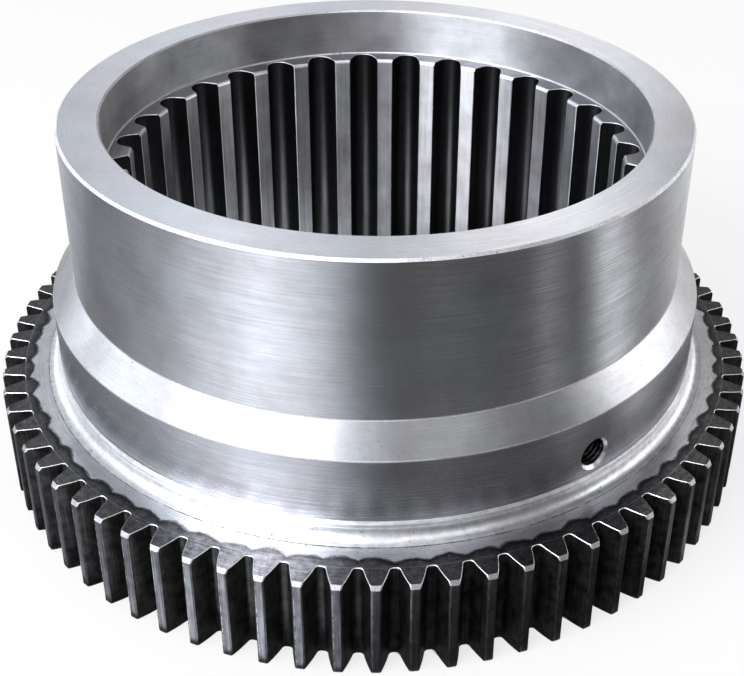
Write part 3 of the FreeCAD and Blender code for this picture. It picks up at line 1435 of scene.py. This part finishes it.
@dataclass(frozen=True)
class RingGear:
    """The whole gear in one piece.

    Args:
        name: Name of the piece.
        gear: The outside teeth.
        spline: The inside teeth.
        body: The turned surfaces.
        hole: The screw hole.
        seam: Width of the strips that join toothed and plain rings.
        smooth_angle: Edges sharper than this stay sharp.
    """

    name: str
    gear: SpurGear
    spline: Spline
    body: TurnedBody
    hole: ScrewHole
    seam: float = 0.4
    smooth_angle: float = 30.0

    def skin(self) -> Skin:
        """Weaves the gear without its screw hole.

        Returns:
            The closed skin.
        """
        skin = Skin()
        gear_bottom, gear_inner = self.gear.weave(skin)
        first, last = self.body.weave(skin, self.gear.inner_radius - self.seam)
        skin.zip(gear_inner, first, Zone.FLANGE)
        spline_bottom, spline_top = self.spline.weave(skin)
        skin.zip(last, spline_top, Zone.SPLINE_FACE)
        inner = skin.circle(self.spline.outer_radius + self.seam, 0.0, self.body.count)
        skin.zip(inner, spline_bottom, Zone.UNDERSIDE)
        outer = skin.turn([(self.gear.inner_radius, 0.0, Zone.UNDERSIDE)], inner, self.body.count)
        skin.zip(gear_bottom, outer, Zone.UNDERSIDE)
        return skin

    def cut_hole(self, piece: bpy.types.Object) -> None:
        """Cuts the screw hole.

        Args:
            piece: The gear, whose mesh is replaced by the cut one.
        """
        cutter = self.hole.cutter()
        for material in piece.data.materials:
            cutter.data.materials.append(material)
        cut = piece.modifiers.new("screw_hole", "BOOLEAN")
        cut.operation = "DIFFERENCE"
        cut.solver = "EXACT"
        cut.object = cutter
        cut.material_mode = "INDEX"
        graph = bpy.context.evaluated_depsgraph_get()
        mesh = bpy.data.meshes.new_from_object(piece.evaluated_get(graph))
        piece.modifiers.clear()
        old = piece.data
        piece.data = mesh
        mesh.name = self.name
        bpy.data.meshes.remove(old)
        bpy.data.objects.remove(cutter)

    def build(self) -> bpy.types.Object:
        """Builds and dresses the gear.

        Returns:
            The piece.
        """
        mesh = self.skin().mesh(self.name + "_uncut")
        for zone in ZONES:
            mesh.materials.append(FINISHES[zone].material())
        piece = placed(self.name, mesh)
        self.cut_hole(piece)
        mesh = piece.data
        mesh.polygons.foreach_set("use_smooth", [True] * len(mesh.polygons))
        mesh.set_sharp_from_angle(angle=math.radians(self.smooth_angle))
        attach(piece, "root")
        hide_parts(CAD_NODE)
        return piece


@dataclass(frozen=True)
class StudioCamera:
    """The camera, as a fit of the photograph's circles and teeth places it.

    Args:
        place: Its place in millimetres.
        down: How far it looks down.
        yaw: How far it looks from +Y towards +X.
        roll: How far the picture is turned.
        focal_pixels: Focal length in pixels.
        centre_pixels: Pixel that the lens points at.
        picture: Width and height of the picture.
        sensor: Width of the sensor in millimetres.
    """

    place: tuple[float, float, float] = (0.0, -447.09, 334.1)
    down: float = 29.287
    yaw: float = 3.324
    roll: float = 1.75
    focal_pixels: float = 1242.54
    centre_pixels: Pair = (442.16, 235.04)
    picture: tuple[int, int] = (744, 676)
    sensor: float = 36.0

    def build(self) -> None:
        """Makes the camera the scene's own."""
        data = bpy.data.cameras.new("studio_camera")
        width, height = self.picture
        data.sensor_width = self.sensor
        data.lens = self.sensor * self.focal_pixels / width
        data.shift_x = (width / 2 - self.centre_pixels[0]) / width
        data.shift_y = (self.centre_pixels[1] - height / 2) / width
        yaw, down, roll = map(math.radians, (self.yaw, self.down, self.roll))
        level = math.cos(down)
        forward = Vector((math.sin(yaw) * level, math.cos(yaw) * level, -math.sin(down)))
        right = Vector((math.cos(yaw), -math.sin(yaw), 0))
        up = right.cross(forward)
        turned_right = right * math.cos(roll) + up * math.sin(roll)
        turned_up = up * math.cos(roll) - right * math.sin(roll)
        axes = Matrix((turned_right, turned_up, -forward)).transposed()
        camera = placed("studio_camera", data)
        camera.matrix_world = Matrix.Translation(Vector(self.place) * MM) @ axes.to_4x4()
        bpy.context.scene.camera = camera


COOL_CAST = (0.98, 1.0, 1.035)
WARM_CAST = (1.01, 1.0, 0.985)
READY_STOPS = 2


@dataclass(frozen=True)
class Backcloth:
    """Cloth round the gear whose brightness changes with the azimuth; only gloss sees it.

    Args:
        name: Its name.
        profile: Radius and height of its section's points, in metres.
        glow: Azimuths from -Y towards +X, in rising order, and the brightness at each; 1 is white.
        brightest: Brightness that none of them exceeds.
        segments: Segments round the axis.
    """

    name: str
    profile: tuple[Pair, ...]
    glow: tuple[Pair, ...]
    brightest: float = 3.0
    segments: int = 48

    def material(self) -> bpy.types.Material:
        """The glow as a material.

        Returns:
            The material.
        """
        bench = Bench(bpy.data.materials.new(self.name + "_glow"))
        x, y, _ = bench.split(bench.node("TexCoord").outputs["Object"])
        turned = bench.math("ARCTAN2", x, bench.math("MULTIPLY", y, -1.0))
        ramp = bench.node("ValToRGB", bench.math("MULTIPLY_ADD", turned, 1 / FULL_TURN, 0.5))
        stops = ramp.color_ramp.elements
        for index, (azimuth, brightness) in enumerate(self.glow):
            position = azimuth / DEGREES_ROUND + 0.5
            stop = stops[index] if index < READY_STOPS else stops.new(position)
            stop.position = position
            level = brightness / self.brightest
            cast = COOL_CAST if azimuth < 0 else WARM_CAST
            stop.color = opaque(tuple(level * channel for channel in cast))
        return bench.finish(bench.node("Emission", ramp.outputs[0], self.brightest).outputs[0])

    def build(self) -> None:
        """Hangs the cloth."""
        corners = []
        for radius, height in self.profile:
            for index in range(self.segments):
                turn = FULL_TURN * index / self.segments
                corners.append((radius * math.cos(turn), radius * math.sin(turn), height))
        faces = []
        for row in range(len(self.profile) - 1):
            for index in range(self.segments):
                following = (index + 1) % self.segments
                low, high = row * self.segments, (row + 1) * self.segments
                faces.append((low + index, low + following, high + following, high + index))
        mesh = bpy.data.meshes.new(self.name)
        mesh.from_pydata(corners, [], faces)
        mesh.materials.append(self.material())
        cloth = placed(self.name, mesh)
        cloth.visible_camera = False
        cloth.visible_diffuse = False
        cloth.visible_shadow = False
        cloth.visible_transmission = False


@dataclass(frozen=True)
class SoftLamp:
    """Soft lamp that points at the gear.

    Args:
        name: Its name.
        azimuth: Direction from the gear, from -Y towards +X.
        elevation: Angle above the horizon.
        distance: Distance from the gear, in metres.
        size: Width and height, in metres.
        power: Its power, in watts.
    """

    name: str = "key_lamp"
    azimuth: float = -46.0
    elevation: float = 42.0
    distance: float = 1.5
    size: Pair = (1.1, 0.6)
    power: float = 16.0

    def build(self) -> None:
        """Hangs the lamp."""
        data = bpy.data.lights.new(self.name, "AREA")
        data.shape = "RECTANGLE"
        data.size, data.size_y = self.size
        data.energy = self.power
        turn, rise = math.radians(self.azimuth), math.radians(self.elevation)
        level = math.cos(rise)
        direction = Vector((math.sin(turn) * level, -math.cos(turn) * level, math.sin(rise)))
        lamp = placed(self.name, data)
        lamp.location = direction * self.distance
        lamp.rotation_euler = direction.to_track_quat("Z", "Y").to_euler()


@dataclass(frozen=True)
class Studio:
    """Floor, backdrop and light.

    Args:
        floor_size: Side of the floor, in metres.
        floor_colour: Colour of the floor.
        whitening: How much of the floor's look is the backdrop's white; the rest takes the shadow.
        sky: Brightness of the world as a light.
        cloths: The cloths round the gear.
        lamp: The lamp.
    """

    floor_size: float = 12.0
    floor_colour: Colour = (0.93, 0.93, 0.93)
    whitening: float = 0.75
    sky: float = 0.85
    cloths: tuple[Backcloth, ...] = ()
    lamp: SoftLamp = SoftLamp()

    def floor(self) -> None:
        """Lays the floor under the gear."""
        half = self.floor_size / 2
        mesh = bpy.data.meshes.new("floor")
        corners = [(-half, -half, 0), (half, -half, 0), (half, half, 0), (-half, half, 0)]
        mesh.from_pydata(corners, [], [(0, 1, 2, 3)])
        bench = Bench(bpy.data.materials.new("pale_floor"))
        matt = bench.node("BsdfDiffuse", opaque(self.floor_colour))
        backdrop = bench.node("Emission", opaque(WHITE))
        seen = bench.seen(self.whitening, matt.outputs[0], backdrop.outputs[0])
        mesh.materials.append(bench.finish(seen))
        floor = placed("floor", mesh)
        floor.location.z = CAD_LOW.z

    def world(self) -> None:
        """Makes a white backdrop for the camera and for gloss, and a plain light for the rest."""
        bench = Bench(bpy.data.worlds.new("backdrop"), "OutputWorld")
        light = bench.node("Background")
        light.inputs["Strength"].default_value = self.sky
        backdrop = bench.node("Background", opaque(WHITE), 1.0)
        seen = bench.seen(1.0, light.outputs[0], backdrop.outputs[0])
        bpy.context.scene.world = bench.finish(seen)

    def build(self) -> None:
        """Sets up the floor, the backdrop, the cloths and the lamp."""
        self.floor()
        self.world()
        for cloth in self.cloths:
            cloth.build()
        self.lamp.build()
        bpy.context.scene.view_settings.view_transform = "Standard"


# Azimuth and glow round the gear, changed as each render was compared with the photograph.
FOOT_GLOW = (
    (-180, 0.8), (-122, 1.6), (-109, 0.3), (-95, 0.1), (-81, 0.12), (-68, 0.3), (-54, 0.45), (-41, 0.9),
    (-27, 2.0), (-13, 1.8), (0, 0.06), (13, 0.04), (27, 0.03), (41, 0.03), (51, 0.5), (60, 0.2),
    (68, 0.1), (81, 0.04), (95, 0.03), (109, 0.03), (116, 0.6), (122, 1.6), (180, 0.8),
)
INNER_FLOOR_GLOW = (
    (-180, 0.6), (-140, 0.5), (-124, 0.65), (-108, 0.35), (-92, 0.12), (-75, 0.3), (-54, 0.45),
    (-41, 0.9), (-27, 2.0), (-14, 1.3), (0, 0.2), (14, 0.2), (27, 0.12), (41, 0.06), (54, 0.14),
    (68, 0.2), (77, 0.12), (92, 0.1), (108, 0.08), (124, 0.5), (140, 0.85), (180, 0.6),
)
NEAR_FLOOR_GLOW = (
    (-180, 0.6), (-149, 0.6), (-133, 0.6), (-116, 0.45), (-99, 0.2), (-83, 0.25), (-66, 0.38),
    (-49, 0.8), (-33, 1.4), (-16, 0.65), (-5, 0.12), (0, 0.05), (16, 0.14), (33, 0.1), (43, 0.14),
    (49, 0.32), (54, 0.2), (59, 0.1), (65, 0.28), (70, 0.82), (76, 0.85), (81, 0.55), (87, 0.34),
    (93, 0.3), (98, 0.36), (103, 0.45), (116, 0.6), (133, 0.8), (150, 0.4), (180, 0.5),
)
FAR_FLOOR_GLOW = (
    (-180, 0.4), (-150, 0.4), (-130, 0.7), (-110, 0.9), (-90, 0.4), (-70, 0.5), (-45, 1.1), (-25, 1.1),
    (-8, 0.5), (5, 0.1), (40, 0.08), (62, 0.15), (85, 0.2), (100, 0.4), (115, 0.9), (130, 0.7),
    (150, 0.4), (180, 0.4),
)
LOW_WALL_GLOW = (
    (-180, 0.65), (-165, 0.75), (-150, 0.75), (-128, 2.2), (-116, 2.8), (-104, 1.0), (-90, 1.6),
    (-70, 1.3), (-45, 1.5), (-25, 1.4), (-8, 0.8), (8, 0.2), (40, 0.15), (62, 0.2), (72, 0.5),
    (80, 1.3), (91, 1.8), (104, 1.8), (116, 2.8), (128, 1.7), (140, 0.7), (150, 0.4), (165, 0.6),
    (180, 0.65),
)
HIGH_WALL_GLOW = (
    (-180, 0.85), (-172, 1.35), (-167, 0.95), (-162, 0.6), (-156, 0.55), (-140, 0.6), (-120, 0.7),
    (-105, 1.1), (-91, 1.6), (-76, 1.6), (-58, 1.5), (-46, 2.8), (-22, 2.8), (-12, 0.9), (6, 0.4),
    (25, 0.6), (45, 0.3), (62, 0.22), (67, 1.0), (73, 2.7), (86, 1.9), (93, 1.7), (100, 1.1),
    (110, 0.4), (130, 0.15), (150, 0.1), (157, 0.08), (162, 0.52), (167, 1.7), (173, 1.8), (180, 0.85),
)
CEILING_GLOW = (
    (-180, 0.1), (-174, 0.35), (-168, 0.5), (-164, 2.2), (-161, 2.9), (-156, 1.0), (-140, 0.5),
    (-100, 0.6), (-84, 2.3), (-62, 2.9), (-42, 2.4), (-22, 2.2), (-14, 0.8), (-8, 0.6), (2, 0.42),
    (10, 1.4), (22, 2.3), (34, 1.5), (44, 0.7), (60, 0.1), (72, 0.1), (90, 0.1), (108, 0.08),
    (125, 0.06), (142, 0.1), (152, 0.4), (158, 3.0), (162, 2.8), (165, 0.1), (169, 0.02), (176, 0.02),
    (180, 0.1),
)
# Dim glow under the teeth: a dark sheet that stands in for the floor's shade there, as the steel's
# reflections see it.
GAP_SHADE_GLOW = ((-180, 0.1), (180, 0.1))
BORE_FLOOR_GLOW = (
    (-180, 0.6), (-168, 2.2), (-130, 3.0), (-70, 3.0), (-25, 2.4), (-8, 0.6), (8, 0.15), (90, 0.04),
    (170, 0.06), (180, 0.6),
)
FLOOR_CLOTH_HEIGHT = 0.0005


def floor_cloth(name: str, inner: float, outer: float, glow: tuple[Pair, ...]) -> Backcloth:
    """A cloth that lies flat just above the floor.

    Args:
        name: Its name.
        inner: Inner radius, in metres.
        outer: Outer radius, in metres.
        glow: Its glow.

    Returns:
        The cloth.
    """
    return Backcloth(name, ((inner, FLOOR_CLOTH_HEIGHT), (outer, FLOOR_CLOTH_HEIGHT)), glow)


STUDIO = Studio(
    cloths=(
        floor_cloth("bore_floor_cloth", 0.002, 0.09, BORE_FLOOR_GLOW),
        floor_cloth("foot_cloth", 0.156, 0.19, FOOT_GLOW),
        floor_cloth("tooth_floor_shade_cloth", 0.1445, 0.156, GAP_SHADE_GLOW),
        floor_cloth("inner_floor_cloth", 0.19, 0.235, INNER_FLOOR_GLOW),
        floor_cloth("near_floor_cloth", 0.235, 0.5, NEAR_FLOOR_GLOW),
        floor_cloth("far_floor_cloth", 0.5, 2.0, FAR_FLOOR_GLOW),
        Backcloth("low_wall_cloth", ((2.0, FLOOR_CLOTH_HEIGHT), (2.0, 0.75)), LOW_WALL_GLOW),
        Backcloth("high_wall_cloth", ((2.0, 0.75), (2.0, 1.15), (1.85, 1.5)), HIGH_WALL_GLOW),
        Backcloth("ceiling_cloth", ((1.85, 1.5), (1.6, 1.9), (0.9, 2.5), (0.01, 2.7)), CEILING_GLOW),
    ),
)


def main() -> None:
    """Builds the gear and the studio round it."""
    logging.basicConfig(level=logging.INFO, format="%(message)s")
    gear = SpurGear(GEAR_ROW)
    spline_top = TOTAL_HEIGHT - COUNTERBORE_DEPTH
    piece = RingGear(
        name="ring_gear_steel",
        gear=gear,
        spline=Spline(SPLINE_ROW, top=spline_top),
        body=TurnedBody(total_height=TOTAL_HEIGHT, gear_face=gear.width, spline_face=spline_top),
        hole=ScrewHole(),
    ).build()
    log.info("%s: %d faces", piece.name, len(piece.data.polygons))
    STUDIO.build()
    log.info("studio: %d cloths and %s", len(STUDIO.cloths), STUDIO.lamp.name)
    StudioCamera().build()


if __name__ == "__main__":
    main()
